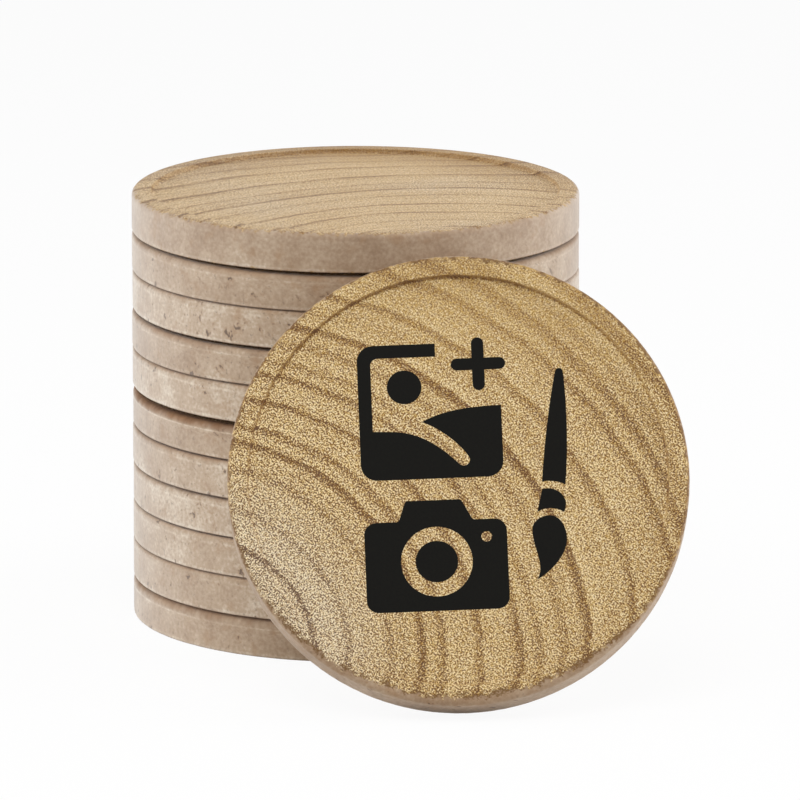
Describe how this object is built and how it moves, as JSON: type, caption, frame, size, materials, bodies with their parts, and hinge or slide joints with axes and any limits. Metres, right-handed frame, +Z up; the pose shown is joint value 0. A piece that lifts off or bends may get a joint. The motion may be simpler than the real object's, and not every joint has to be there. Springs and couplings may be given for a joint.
{
  "type": "game token set",
  "caption": "Straight stack of round wooden game tokens with raised rims, and a printed token leaning on its side; tokens lift off the stack and the leaning one tips up.",
  "frame": {"origin": "middle of the set's footprint, on the surface that it stands on", "axes": "+Z up along the stack, +Y from the leaning token towards the stack, +X to the right seen from the front"},
  "size_m": [0.049, 0.0606, 0.0385],
  "materials": {
    "wood": "bare sanded wood, matt",
    "ink": "flat black print"
  },
  "bodies": {
    "stack_token_01": {"stack_token_01": "wood"},
    "stack_token_02": {"stack_token_02": "wood"},
    "stack_token_03": {"stack_token_03": "wood"},
    "stack_token_04": {"stack_token_04": "wood"},
    "stack_token_05": {"stack_token_05": "wood"},
    "stack_token_06": {"stack_token_06": "wood"},
    "stack_token_07": {"stack_token_07": "wood"},
    "stack_token_08": {"stack_token_08": "wood"},
    "stack_token_09": {"stack_token_09": "wood"},
    "stack_token_10": {"stack_token_10": "wood"},
    "stack_token_11": {"stack_token_11": "wood"},
    "leaning_token": {"leaning_token": "wood"}
  },
  "joints": [
    {"name": "stack_token_02_lift", "type": "slide", "parent": "stack_token_01", "child": "stack_token_02", "axis": [0, 0, 1], "range_m": [0, 0.015]},
    {"name": "stack_token_03_lift", "type": "slide", "parent": "stack_token_02", "child": "stack_token_03", "axis": [0, 0, 1], "range_m": [0, 0.015]},
    {"name": "stack_token_04_lift", "type": "slide", "parent": "stack_token_03", "child": "stack_token_04", "axis": [0, 0, 1], "range_m": [0, 0.015]},
    {"name": "stack_token_05_lift", "type": "slide", "parent": "stack_token_04", "child": "stack_token_05", "axis": [0, 0, 1], "range_m": [0, 0.015]},
    {"name": "stack_token_06_lift", "type": "slide", "parent": "stack_token_05", "child": "stack_token_06", "axis": [0, 0, 1], "range_m": [0, 0.015]},
    {"name": "stack_token_07_lift", "type": "slide", "parent": "stack_token_06", "child": "stack_token_07", "axis": [0, 0, 1], "range_m": [0, 0.015]},
    {"name": "stack_token_08_lift", "type": "slide", "parent": "stack_token_07", "child": "stack_token_08", "axis": [0, 0, 1], "range_m": [0, 0.015]},
    {"name": "stack_token_09_lift", "type": "slide", "parent": "stack_token_08", "child": "stack_token_09", "axis": [0, 0, 1], "range_m": [0, 0.015]},
    {"name": "stack_token_10_lift", "type": "slide", "parent": "stack_token_09", "child": "stack_token_10", "axis": [0, 0, 1], "range_m": [0, 0.015]},
    {"name": "stack_token_11_lift", "type": "slide", "parent": "stack_token_10", "child": "stack_token_11", "axis": [0, 0, 1], "range_m": [0, 0.015]},
    {"name": "leaning_token_tip", "type": "hinge", "parent": "stack_token_01", "child": "leaning_token", "pos_m": [0.0045, -0.02736, 0.00015], "axis": [1, 0, 0], "range_deg": [0, 27]}
  ]
}
